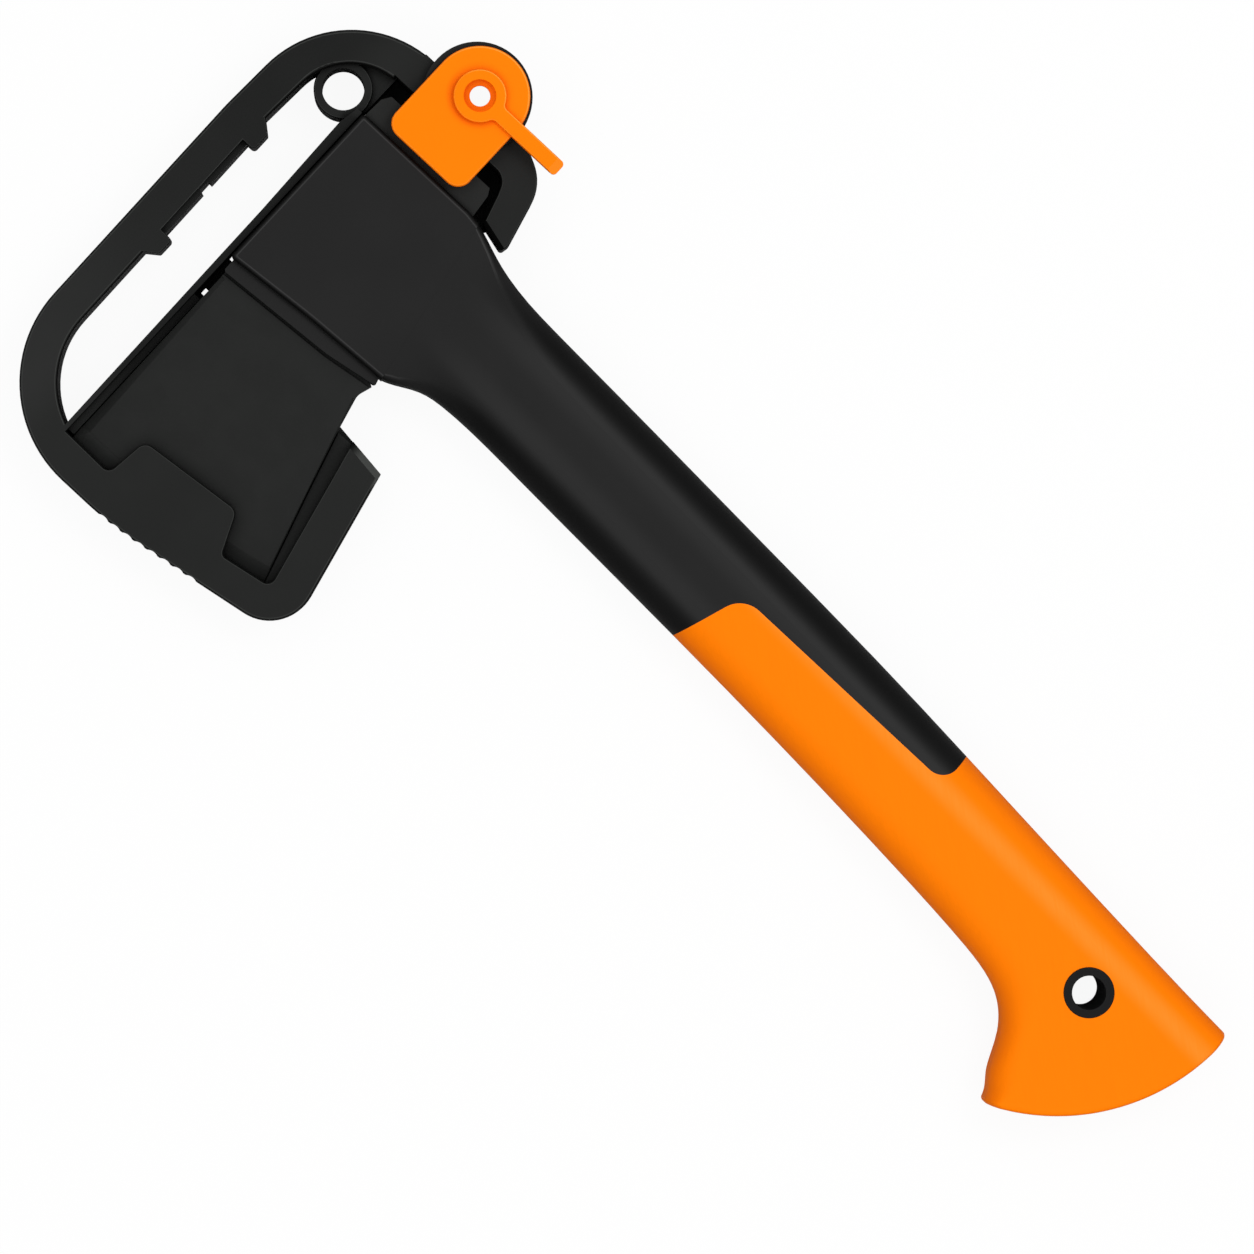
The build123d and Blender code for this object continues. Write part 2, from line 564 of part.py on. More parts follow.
# Bumps inside the bar that keep the hand in place: each with its outer and inner end, and height.
BUMPS = [(-56.1, -67.2, 4.6), (-120.0, -109.6, 5.2)]
BUMP_SLANT = 3.9
BUMP_BACK = 6.0  # how far in from the back face they start
BUMP_FILLET = 0.4
LEDGE_TOP, LEDGE_LOW = BUMPS[0][1], BUMPS[1][1]
LEDGE_DEPTH, LEDGE_SETBACK, LEDGE_RISE = 5.0, 0.8, 1.2  # a step along the bar between the bumps
NOTCH_Y, NOTCH_LENGTH = -88.2, 4.4
PEEP_X, PEEP_Y, PEEP_SIZE = -24.5, -114.9, 2.4  # small square hole at the top of the back plate
BAR_RIBS = range(-160, -30, 16)  # cross ribs of the bar, by their height
FOOT_RIBS = range(-28, 60, 14)  # and of the foot
REST_RIBS = [-12.0, 12.0, 33.0]  # ribs on the back plate that the blade lies on
RIB_THICK = 2.2

with BuildSketch() as hand_opening:
    add(outline(HAND_OUTLINE))
    add(outline(STRIP_OUTLINE), mode=Mode.SUBTRACT)


def rims(edges, wanted):
    """Those edges, on the sheath's front and back faces, whose middles pass the test."""
    chosen = []
    for edge in edges:
        middle = edge.position_at(0.5)
        height = middle.Z - HEAD_HALF
        on_face = min(abs(height - SHEATH_FRONT), abs(height - SHEATH_BACK)) < 0.01
        if on_face and wanted(middle.X - PIVOT_X, middle.Y - PIVOT_Y, height):
            chosen.append(edge)
    return ShapeList(chosen).sort_by(Axis.Y).sort_by(Axis.Z)


def foot_y(x):
    """Height of the foot's outer side here: level up to its bend, and then rising to the guard."""
    rise = (FOOT_RIGHT_Y - SHEATH_FOOT) / (guard_side(FOOT_RIGHT_Y) - FOOT_BEND_X)
    turn = atan(rise)
    centre = FOOT_BEND_X - FOOT_BEND_RADIUS * tan(turn / 2)
    if x < centre + FOOT_BEND_RADIUS * sin(turn):
        return SHEATH_FOOT + FOOT_BEND_RADIUS - sqrt(FOOT_BEND_RADIUS**2 - max(x - centre, 0) ** 2)
    return SHEATH_FOOT + (x - FOOT_BEND_X) * rise


def bump_outline(outer, inner, height):
    """One of the bumps on the bar's inner side: slanted at its outer end and square at its inner one."""
    root = BAR_IN - EDGE_FILLET - 1.0
    slant = BUMP_SLANT if inner > outer else -BUMP_SLANT
    return [
        (root, outer, 0),
        (BAR_IN, outer, 0.8),
        (BAR_IN + height, outer + slant, 1),
        (BAR_IN + height, inner, 1.5),
        (root, inner, 0),
    ]


def bar_inside(y):
    """Where the bar's inner side is at this height."""
    return BAR_IN + (-60.0 - y) * (BAR_SIDE_LOW - BAR_LEFT) / (-60.0 - SHEATH_FOOT - BAR_WIDTH)


def ledge_outline(top, low, near, far):
    """A strip along the bar's inner side, between two heights, from near to far off it."""
    return [
        (bar_inside(top) + near, top, 0),
        (bar_inside(low) + near, low, 0),
        (bar_inside(low) + far, low, 0),
        (bar_inside(top) + far, top, 0),
    ]


def grown(corners, amount):
    """A closed outline moved outwards, or inwards where the amount is negative."""
    with BuildSketch() as shape:
        add(outline(corners))
        offset(amount=amount, kind=Kind.INTERSECTION, mode=Mode.REPLACE)
    return shape.sketch


with BuildSketch() as core_area:
    add(grown(LOOP_OUTLINE, -CORE_WALL))
    add(grown(HAND_OUTLINE, CORE_WALL), mode=Mode.SUBTRACT)
    add(grown(CAVITY_OUTLINE, CORE_WALL), mode=Mode.SUBTRACT)
    with Locations((STRIP_OUT - 8, SHEATH_FOOT + BAR_WIDTH - CORE_WALL)):
        Rectangle(FAR, FAR, align=(Align.MIN, Align.MIN), mode=Mode.SUBTRACT)
    with Locations(*[(BAR_LEFT + BAR_WIDTH / 2, y) for y in BAR_RIBS]):
        Rectangle(2 * BAR_WIDTH, CORE_RIB, mode=Mode.SUBTRACT)
    with Locations(*[(x, SHEATH_FOOT + BAR_WIDTH / 2) for x in FOOT_RIBS]):
        Rectangle(CORE_RIB, 2 * BAR_WIDTH, mode=Mode.SUBTRACT)

with BuildPart() as pocket_wall:
    with BuildSketch(level(SHEATH_BACK)):
        add(outline(HOOK_OUTLINE))
    extrude(amount=SHEATH_FRONT - SHEATH_BACK)
    fillet(rims(pocket_wall.edges(), lambda x, y, z: x > 11), EDGE_FILLET / 2)

with BuildPart() as bump_forms:
    for outer, inner, height in BUMPS:
        with BuildSketch(level(SHEATH_BACK + BUMP_BACK)):
            add(outline(bump_outline(outer, inner, height)))
        extrude(amount=SHEATH_FRONT - SHEATH_BACK - BUMP_BACK)
    free_rims = rims(bump_forms.edges(), lambda x, y, z: x > BAR_IN - EDGE_FILLET - 0.9)
    fillet(free_rims, BUMP_FILLET)

with BuildPart() as guard_bevel:
    guard_run = (GUARD_X - HEEL_WALL_X + GUARD_BACK, GUARD_Y - CHANNEL_TOP)
    with BuildSketch(side_plane((GUARD_X, GUARD_Y, SHEATH_FRONT - GUARD_BEVEL), guard_run, 0, (0, -1), 1)):
        Rectangle(FAR, FAR)
    extrude(amount=FAR)
    with BuildSketch(level(-FAR / 2)):
        with Locations((HEEL_WALL_X - 2, GUARD_Y + GUARD_DROP / 2)):
            Rectangle(GUARD_WIDTH, GUARD_DROP, align=(Align.MIN, Align.MAX))
    extrude(amount=FAR, mode=Mode.INTERSECT)

with BuildPart() as hook_bevel:
    hook_run = (HOOK_TIP_X - POCKET_RIGHT - 3.2, HOOK_TIP_Y - HEAD_TOP - 0.4)
    tip = (HOOK_TIP_X, HOOK_TIP_Y, SHEATH_FRONT - HOOK_BEVEL)
    with BuildSketch(side_plane(tip, hook_run, 0, (0, 1), 1)):
        Rectangle(FAR, FAR)
    extrude(amount=FAR)
    with BuildSketch(level(-FAR / 2)):
        with Locations((POCKET_RIGHT + 1.0, HOOK_TIP_Y - 2)):
            Rectangle(GUARD_DROP, GUARD_DROP / 2, align=(Align.MIN, Align.MIN))
    extrude(amount=FAR, mode=Mode.INTERSECT)

with BuildPart() as ring_form:
    with BuildSketch(level(SHEATH_BACK)):
        with Locations((RING_X, RING_Y)):
            Circle(RING_OUT)
    extrude(amount=RING_FRONT - SHEATH_BACK)
    fillet(ring_form.edges().group_by(Axis.Z)[-1], RING_FILLET)

with BuildPart() as sheath_frame:
    # Loop of the carry bar, the edge channel and the guard, in one outline.
    with BuildSketch(level(SHEATH_BACK)):
        add(outline(LOOP_OUTLINE))
    extrude(amount=SHEATH_FRONT - SHEATH_BACK)
    outside = rims(
        sheath_frame.edges(),
        lambda x, y, z: x < BAR_IN
        or y > POCKET_TOP + 1
        or y < SHEATH_FOOT + 8
        or x > guard_side(y) - 2,
    )
    fillet(outside, EDGE_FILLET)
    with BuildSketch(level(SHEATH_BACK)):
        add(hand_opening.sketch)
    extrude(amount=SHEATH_FRONT - SHEATH_BACK, mode=Mode.SUBTRACT)
    inside = rims(
        sheath_frame.edges(Select.LAST),
        lambda x, y, z: x < STRIP_OUT - 1.2 or y > SHEATH_TOP - TOP_WIDTH - 1,
    )
    fillet(inside, EDGE_FILLET)
    # Bumps that keep the hand in place, and the step between them, in two lengths.
    with BuildSketch(level(SHEATH_FRONT - LEDGE_DEPTH)):
        add(outline(ledge_outline(LEDGE_TOP, LEDGE_LOW, -LEDGE_SETBACK, BUMPS[0][2])))
    extrude(amount=FAR, mode=Mode.SUBTRACT)
    with BuildSketch(level(SHEATH_BACK)):
        add(outline(ledge_outline(LEDGE_TOP + 1, NOTCH_Y + NOTCH_LENGTH / 2, -BAR_WIDTH / 2, LEDGE_RISE)))
        add(outline(ledge_outline(NOTCH_Y - NOTCH_LENGTH / 2, LEDGE_LOW - 1, -BAR_WIDTH / 2, LEDGE_RISE)))
    extrude(amount=SHEATH_FRONT - LEDGE_DEPTH - SHEATH_BACK)
    add(bump_forms.part)
    # Pocket for the poll: its top wall and hook, its floor, and the web to the hanging ring.
    add(pocket_wall.part)
    with BuildSketch(level(SHEATH_BACK)):
        add(outline(POCKET_FLOOR_OUTLINE))
    extrude(amount=POCKET_FLOOR - SHEATH_BACK)
    with BuildSketch(level(SHEATH_BACK)):
        add(outline(WEB_OUTLINE))
    extrude(amount=WEB_FRONT - SHEATH_BACK)
    add(ring_form.part)
    # Hollow for the blade, open to the front; its plate stays behind the blade.
    with BuildSketch(level(SHEATH_BACK + BACK_PLATE)):
        add(outline(CAVITY_OUTLINE))
    extrude(amount=FAR, mode=Mode.SUBTRACT)
    tab_rim = rims(
        sheath_frame.edges(Select.LAST),
        lambda x, y, z: z > 0 and x > STRIP_IN + 3 and y < TAB_TOP + 2,
    )
    fillet(tab_rim, EDGE_FILLET / 2)
    # Ribs on the plate that the blade lies on, the ledges beside it, the slot for its edge and a hole.
    with BuildSketch(level(SHEATH_BACK + BACK_PLATE / 2)):
        with Locations(*[(x, CHANNEL_TOP - 3.0) for x in REST_RIBS]):
            Rectangle(RIB_THICK, CHANNEL_TOP - 3.0 - EDGE_LOW, align=(Align.CENTER, Align.MAX))
    extrude(amount=-SHEATH_BACK)
    with BuildSketch(level(SHEATH_BACK + BACK_PLATE / 2)):
        add(outline(TOE_LEDGE))
        add(outline(HEEL_LEDGE))
    extrude(amount=SIDE_LEDGE_FRONT - SHEATH_BACK - BACK_PLATE / 2)
    add(head_form(BLADE_GAP), mode=Mode.SUBTRACT)
    with BuildSketch(level(SHEATH_BACK)):
        with Locations((PEEP_X, PEEP_Y)):
            Rectangle(PEEP_SIZE, PEEP_SIZE)
        with Locations((RING_X, RING_Y)):
            Circle(RING_BORE)
    extrude(amount=FAR, mode=Mode.SUBTRACT)
    # Ear that carries the latch, with the stem's bore and the room behind it for the clip.
    with BuildSketch(level(EAR_BACK)):
        with Locations((EAR_X, EAR_Y)):
            Circle(EAR_RADIUS)
        with Locations((0, POCKET_TOP)):
            Rectangle(FAR, FAR, align=(Align.CENTER, Align.MAX), mode=Mode.SUBTRACT)
    extrude(amount=EAR_THICK)
    with BuildSketch(level(EAR_BACK)):
        Circle(STEM_RADIUS + PIVOT_GAP)
    extrude(amount=FAR, mode=Mode.SUBTRACT)
    with BuildSketch(level(EAR_BACK)):
        Circle(CLIP_OUT + CLIP_ROOM)
    extrude(amount=-FAR, mode=Mode.SUBTRACT)
    # Sloped ends of the guard and of the hook, and the scallops along the foot.
    add(guard_bevel.part, mode=Mode.SUBTRACT)
    add(hook_bevel.part, mode=Mode.SUBTRACT)
    with BuildSketch(level(SHEATH_BACK)):
        for step in range(SCALLOPS):
            x = SCALLOP_START + step * SCALLOP_PITCH
            with Locations((x, foot_y(x) + SCALLOP_DEPTH - SCALLOP_RADIUS)):
                Circle(SCALLOP_RADIUS)
    extrude(amount=FAR, mode=Mode.SUBTRACT)
    # Coring in the back, which leaves walls and cross ribs.
    with BuildSketch(level(SHEATH_BACK)):
        add(core_area.sketch)
    extrude(amount=SHEATH_FRONT - SHEATH_BACK - CORE_FLOOR, mode=Mode.SUBTRACT)
sheath_frame.part.label = "sheath_frame"
export_step(sheath_frame.part, "parts/sheath_frame.step")

# ===== Latch: plate, ring, lever and hollow stem in one moulding ================================
GROOVE_RADIUS = STEM_RADIUS - CLIP_GROOVE
with BuildPart() as latch:
    with BuildSketch(level(PLATE_UNDER)) as plate_face:
        Circle(PLATE_RADIUS)
        Rectangle(2 * PLATE_RADIUS, PLATE_REACH, align=(Align.CENTER, Align.MAX))
        fillet(plate_face.vertices().group_by(Axis.Y)[0], PLATE_CORNER)
    extrude(amount=PLATE_THICK)
    fillet(latch.faces().sort_by(Axis.Z)[-1].edges(), PLATE_FILLET)
    # Ring, and the lever that stands off it past the plate.
    with BuildSketch(level(PLATE_FRONT - 0.5)) as ring_face:
        Circle(RING_BOSS)
        Rectangle(LEVER_REACH, LEVER_WIDTH, align=(Align.MIN, Align.CENTER))
        fillet(ring_face.vertices().group_by(Axis.X)[0], 2.0)
        fillet(ring_face.vertices().group_by(Axis.X)[-1], 1.5)
    extrude(amount=BOSS_RISE + 0.5)
    fillet(latch.faces().sort_by(Axis.Z)[-1].edges(), BOSS_FILLET)
    with BuildSketch(level(LATCH_FRONT - LEVER_THICK)):
        with Locations((PLATE_RADIUS + 0.5, 0)):
            Rectangle(LEVER_REACH - PLATE_RADIUS - 2.5, LEVER_WIDTH, align=(Align.MIN, Align.CENTER))
    extrude(amount=LEVER_THICK - BOSS_RISE)
    with BuildSketch(Plane(MID_PLANE.origin, x_dir=(1, 0, 0), z_dir=(0, -1, 0))):
        Polygon(
            (THUMB_START, LATCH_FRONT),
            (LEVER_REACH, LATCH_FRONT - THUMB_FALL),
            (LEVER_REACH, LATCH_FRONT),
            align=None,
        )
    extrude(amount=LEVER_WIDTH, both=True, mode=Mode.SUBTRACT)
    # Pad that holds the poll down.
    with BuildSketch(level(POLL_HALF + MOVING_GAP)):
        with Locations((0, -PAD_NEAR)):
            Rectangle(2 * PAD_HALF_WIDTH, PAD_FAR - PAD_NEAR, align=(Align.CENTER, Align.MAX))
    extrude(amount=PLATE_UNDER - POLL_HALF - MOVING_GAP)
    # Stem through the ear, the seat and the eye in the ring, and the groove for the clip.
    with BuildSketch(level(STEM_END)):
        Circle(STEM_RADIUS)
    extrude(amount=PLATE_UNDER - STEM_END)
    with BuildSketch(level(STEM_END)):
        Circle(STEM_RADIUS - STEM_WALL)
    extrude(amount=LATCH_FRONT - SEAT_DEPTH - LATCH_FLOOR - STEM_END, mode=Mode.SUBTRACT)
    with BuildSketch(level(STEM_END)):
        Circle(LATCH_BORE)
    extrude(amount=FAR, mode=Mode.SUBTRACT)
    with BuildSketch(level(LATCH_FRONT - SEAT_DEPTH)):
        Circle(SEAT_RADIUS)
    extrude(amount=FAR, mode=Mode.SUBTRACT)
    with BuildSketch(level(CLIP_TOP - CLIP_THICK)):
        Circle(STEM_RADIUS + 1)
        Circle(GROOVE_RADIUS, mode=Mode.SUBTRACT)
    extrude(amount=CLIP_THICK, mode=Mode.SUBTRACT)
latch.part.label = "latch"
export_step(latch.part, "parts/latch.step")

# ===== Spring clip in the stem's groove, behind the ear ==========================================
with BuildPart() as retaining_clip:
    with BuildSketch(level(CLIP_TOP - CLIP_THICK)) as clip_face:
        Circle(CLIP_OUT)
        Circle(GROOVE_RADIUS, mode=Mode.SUBTRACT)
        Rectangle(CLIP_OUT + 1, GROOVE_RADIUS, align=(Align.MIN, Align.CENTER), mode=Mode.SUBTRACT)
    extrude(amount=CLIP_THICK)
retaining_clip.part.label = "retaining_clip"
export_step(retaining_clip.part, "parts/retaining_clip.step")
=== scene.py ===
"""One-hand chopping hatchet, locked in its moulded carry sheath."""

import math

import bpy
from mathutils import Matrix, Vector


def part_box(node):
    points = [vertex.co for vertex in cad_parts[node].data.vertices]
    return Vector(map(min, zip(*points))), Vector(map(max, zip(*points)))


bl_info = {
    "name": "Sheathed Hatchet",
    "version": (1, 0, 0),
    "blender": (4, 5, 0),
    "location": "View3D > Sidebar > Hatchet",
    "description": "Dresses a hatchet in its carry sheath with procedural finishes",
    "category": "Object",
}

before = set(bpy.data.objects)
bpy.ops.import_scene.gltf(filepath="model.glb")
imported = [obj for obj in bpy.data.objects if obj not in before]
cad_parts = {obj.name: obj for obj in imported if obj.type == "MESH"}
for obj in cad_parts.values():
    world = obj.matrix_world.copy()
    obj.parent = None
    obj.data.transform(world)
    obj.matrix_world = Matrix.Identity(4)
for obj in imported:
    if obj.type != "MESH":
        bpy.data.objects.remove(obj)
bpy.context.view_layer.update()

# Places that the patterns and the camera follow, in metres.  The clip goes round the latch's pivot.
PIVOT_X, PIVOT_Y = (sum(axis) / 2 for axis in list(zip(*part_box("retaining_clip")))[:2])
MID_HEIGHT = sum(corner.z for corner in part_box("handle_shell")) / 2
EDGE_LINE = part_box("blade_head")[0].y  # lowest point of the cutting edge
LATCH_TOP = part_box("latch")[1].z

# The handle's centre line, from the pivot: it starts this far below and falls away from the head.
HANDLE_DROP = 0.0605
HANDLE_FALL = 0.0485  # fall for each unit of length
HANDLE_HALF = 0.0228  # half the handle's depth
HANDLE_CROWN = 0.0012  # how far the middle of its sides stands out
BLOCK_END = (0.038, 0.052)  # along the handle: where the block round the head passes into the neck
NECK = (0.034, 0.085)  # where the section turns oval
KNOB = (0.300, 0.350)  # and where it turns flat again

GRIND = (0.0062, 0.0072)  # above the edge: where the ground bevel ends
SEAT = (0.0050, 0.0058)  # from the pivot: the edge of the latch's sunk seat, whose inside is painted in shade
RING_SHADOW = (0.0093, 0.0124)  # a painted shadow on the plate, from the foot of the raised ring
PLATE_FACE = (-0.0022, -0.0019)  # from the latch's top: heights just over the plate's face

# The camera stands over one place and looks at another, and the picture's right is a direction.
CAMERA_FOOT = (-0.0968, -0.0507)
VIEW_MIDDLE = (-0.0126, -0.0109)
PICTURE_RIGHT = (0.7325, 0.6808)
SOFTBOX_PLACE = (0.15, 0.62, 1.5)


# --- Shader building -------------------------------------------------------------------------


class Value:
    """One output of a shader node.  Each arithmetic operator on it adds a Math node."""

    def __init__(self, tree, socket):
        self.tree, self.socket = tree, socket

    def math(self, operation, *operands):
        return self.tree.node("ShaderNodeMath", {"operation": operation}, dict(enumerate(operands)))

    def __add__(self, other):
        return self.math("ADD", self, other)

    __radd__ = __add__

    def __sub__(self, other):
        return self.math("SUBTRACT", self, other)

    def __rsub__(self, other):
        return self.math("SUBTRACT", other, self)

    def __mul__(self, other):
        return self.math("MULTIPLY", self, other)

    __rmul__ = __mul__

    def __truediv__(self, other):
        return self.math("DIVIDE", self, other)

    def __rtruediv__(self, other):
        return self.math("DIVIDE", other, self)

    def __abs__(self):
        return self.math("ABSOLUTE", self)

    def over(self, low, high):
        """0 up to low, 1 from high, and a smooth step between them."""
        return self.tree.node(
            "ShaderNodeMapRange",
            {"interpolation_type": "SMOOTHSTEP"},
            {"Value": self, "From Min": low, "From Max": high},
        )


class Tree:
    """A node tree that is written as expressions."""

    def __init__(self, tree):
        self.nodes, self.links = tree.nodes, tree.links

    def node(self, kind, settings=None, inputs=None, output=0):
        """Adds a node: first its settings, then what its sockets hold or are linked to."""
        made = self.nodes.new(kind)
        for setting, value in (settings or {}).items():
            setattr(made, setting, value)
        for socket, value in (inputs or {}).items():
            if isinstance(value, Value):
                self.links.new(value.socket, made.inputs[socket])
            else:
                made.inputs[socket].default_value = value
        return Value(self, made.outputs[output])

    def mix(self, factor, low, high):
        """The colour low where factor is 0, and high where it is 1."""
        sides = [side if isinstance(side, Value) else (*side, 1) for side in (low, high)]
        return self.node(
            "ShaderNodeMix", {"data_type": "RGBA"}, {0: factor, 6: sides[0], 7: sides[1]}, output=2
        )

    def parts(self, vector):
        """The x, y and z of a vector."""
        split = self.node("ShaderNodeSeparateXYZ", inputs={0: vector})
        return [Value(self, output) for output in split.socket.node.outputs]

    def seen(self, near=0.0, far=0.0):
        """1 for what is seen directly, mirrored or through glass, and 0 for the light that it gives.

        Mirrored places fade in from near to far, as the nearest ones lie in the hatchet's own shade.
        """
        rays = self.node("ShaderNodeLightPath").socket.node.outputs
        mirrored = Value(self, rays["Is Glossy Ray"])
        if far:
            mirrored = mirrored * Value(self, rays["Ray Length"]).over(near, far)
        return Value(self, rays["Is Camera Ray"]) + mirrored + Value(self, rays["Is Transmission Ray"])


class Finish(Tree):
    """A material with one Principled shader, and the nodes that feed it."""

    def __init__(self, name, **constants):
        self.material = bpy.data.materials.new(name)
        self.material.use_nodes = True
        super().__init__(self.material.node_tree)
        self.shader = self.nodes["Principled BSDF"]
        for socket, value in constants.items():
            self.shader.inputs[socket.replace("_", " ")].default_value = value

    def place(self, output="Object"):
        return self.node("ShaderNodeTexCoord", output=output)

    def from_pivot(self):
        """x and y from the latch's pivot, and the height over the floor."""
        x, y, z = self.parts(self.place())
        return x - PIVOT_X, y - PIVOT_Y, z

    def facing(self):
        """1 on faces that lie flat, front or back, and 0 on upright ones."""
        return abs(self.parts(self.place("Normal"))[2])

    def edges(self):
        """Masks of upright walls, of rounded edges with the walls (painted in shade), and of the line
        where they start (painted as a highlight).
        """
        facing = self.facing()
        wall = 1 - facing.over(0.05, 0.35)
        radius = 1 - facing.over(0.72, 0.93)
        lip = facing.over(0.91, 0.965) * (1 - facing.over(0.98, 0.999))
        return wall, radius, lip

    def seam(self, z, half, blend):
        """The parting line at half thickness: half is half its width, and blend where it has faded."""
        return 1 - abs(z - MID_HEIGHT).over(half, blend)

    def coats(self, tone, *layers):
        """Lays layers over a tone one by one, each a factor and a colour."""
        for factor, colour in layers:
            tone = self.mix(factor, tone, colour)
        return tone

    def turned(self, angle, stretch):
        """Places turned about Z, then stretched by one factor per axis."""
        return self.node(
            "ShaderNodeMapping",
            {"vector_type": "TEXTURE"},
            {
                "Vector": self.place(),
                "Rotation": (0, 0, math.radians(angle)),
                "Scale": stretch,
            },
        )

    def noise(self, size, detail=2.0, roughness=0.5, vector=None):
        """Soft noise round 0.5, with features about this long in metres."""
        return self.node(
            "ShaderNodeTexNoise",
            None,
            {
                "Vector": vector or self.place(),
                "Scale": 1 / size,
                "Detail": detail,
                "Roughness": roughness,
            },
        )

    def bump(self, height):
        """A normal for a height in metres."""
        return self.node("ShaderNodeBump", None, {"Height": height, "Distance": 1.0, "Strength": 1.0})

    def crease(self, reach):
        """1 deep in gaps and inner corners, and 0 where nothing is within reach: a mask for painted
        shade.
        """
        clear = self.node("ShaderNodeAmbientOcclusion", {"samples": 6}, {"Distance": reach}, output=1)
        return 1 - clear.over(0.25, 0.85)

    def feed(self, **sources):
        for socket, value in sources.items():
            self.links.new(value.socket, self.shader.inputs[socket.replace("_", " ")])


def shade(colour, factor):
    """The same colour, darker or lighter."""
    return tuple(channel * factor for channel in colour)


def wear(node, finish):
    """Gives a CAD node its material."""
    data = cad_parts[node].data
    data.materials.clear()
    data.materials.append(finish.material)


# --- Sizes and colours that a user would change ------------------------------------------------


def colour_prop(name, description, default):
    return bpy.props.FloatVectorProperty(
        name=name, description=description, default=default, subtype="COLOR", size=3, min=0.0, max=1.0
    )


def length_prop(name, description, default):
    return bpy.props.FloatProperty(
        name=name, description=description, default=default, unit="LENGTH", min=0.0, precision=5
    )


class HatchetColours(bpy.types.PropertyGroup):
    """Base colours of the finishes"""

    moulding: colour_prop("Moulding", "Composite round the head and handle", (0.0132, 0.0132, 0.0132))
    coating: colour_prop("Coating", "Low-friction coating of the blade", (0.0130, 0.0136, 0.0130))
    sheath: colour_prop("Sheath", "Moulded nylon of the carry sheath", (0.0130, 0.0136, 0.0130))
    bush: colour_prop("Bush", "Bush round the lanyard hole", (0.007, 0.007, 0.0072))
    grip: colour_prop("Grip", "Soft overmoulding of the handle", (1.0, 0.209, 0.0007))
    latch: colour_prop("Latch", "Turning latch of the sheath", (1.0, 0.213, 0.0007))
    clip: colour_prop("Clip", "Spring steel of the retaining clip", (0.45, 0.46, 0.47))


class HatchetSizes(bpy.types.PropertyGroup):
    """Sizes of the surface textures"""

    grain: length_prop("Moulding grain", "Size of the fine texture on moulded faces", 0.0005)
    grain_depth: length_prop("Grain depth", "Depth of that texture", 0.000006)
    coat_depth: length_prop("Coating depth", "Depth of the blade's speckle and hammering", 0.000007)
    streak: length_prop("Grip streak", "Width of the faint flow streaks in the grip", 0.0009)
    # How far the painted shade in gaps and corners reaches.
    gap: length_prop("Gap reach", "How near another face darkens a gap or a corner", 0.0022)


class HatchetStudio(bpy.types.PropertyGroup):
    """Camera and light"""

    view_width: length_prop("View width", "Width of the picture at the hatchet", 0.4412)
    view_height: length_prop("Camera height", "Height of the camera over the middle of the hatchet", 2.4)
    lamp_size: length_prop("Softbox", "Side of the square softbox", 0.45)
    sky: bpy.props.FloatProperty(
        name="Sky light", description="Strength of the light from all round", default=0.5, min=0.0
    )
    ring: bpy.props.FloatProperty(
        name="Ring light", description="Strength of the ring round the camera", default=1.22, min=0.0
    )
    key: bpy.props.FloatProperty(
        name="Key light", description="Power of the softbox", default=4.0, min=0.0, unit="POWER"
    )


# --- Finishes --------------------------------------------------------------------------------


def moulded(name, colour, sizes, rough, painted_edge_strength=0.9, painted_shading=None, slope=None):
    """Grained moulding, with a painted highlight line where its radii start, and painted shade on the
    radii and in its gaps.

    Two functions may be given, each taking the finish: the first returns layers of painted light and
    shade that go on first, and the second returns 1 on sloped faces that are painted light.
    """
    finish = Finish(name, Specular_IOR_Level=0.08)
    wall, radius, lip = finish.edges()
    grain = finish.noise(sizes.grain, 3.0, 0.6)
    cloud = finish.noise(0.028, 2.0)
    tone = finish.coats(
        finish.mix(cloud.over(0.3, 0.7), shade(colour, 0.93), shade(colour, 1.07)),
        *(painted_shading(finish) if painted_shading else ()),
        (grain.over(0.35, 0.75) * 0.2, shade(colour, 1.5)),
        # Painted highlight on the line where the radii start and painted shade on the radii, both scaled
        # by the argument after the roughness; then painted light on lit slopes and painted shade in gaps.
        (lip * painted_edge_strength * 0.8, shade(colour, 3.4)),
        (radius * (1 - wall * 0.6) * painted_edge_strength, shade(colour, 0.12)),
        *([(slope(finish), shade(colour, 5.0))] if slope else ()),
        (finish.crease(sizes.gap) * 0.9, shade(colour, 0.05)),
    )
    finish.feed(
        Base_Color=tone,
        Roughness=rough + grain * 0.1 - 0.05 - radius * 0.1,
        Normal=finish.bump(grain * (1 - radius) * sizes.grain_depth),
    )
    return finish


def across_handle(finish):
    """Places along and across the handle, a mask that is 1 behind the neck, and the crown of its sides.

    Along is measured from the latch's pivot.  Across is the distance from the handle's centre line as a
    share of half its depth, positive towards the poll.  The crown is a height in metres: a parabola over
    that share, blended in behind the neck and out again before the knob.
    """
    along, y, _ = finish.from_pivot()
    across = (y + HANDLE_DROP + along * HANDLE_FALL) / HANDLE_HALF
    shaft = along.over(*NECK)
    crown = (1 - across * across) * shaft * (1 - along.over(*KNOB)) * HANDLE_CROWN
    return along, across, shaft, crown


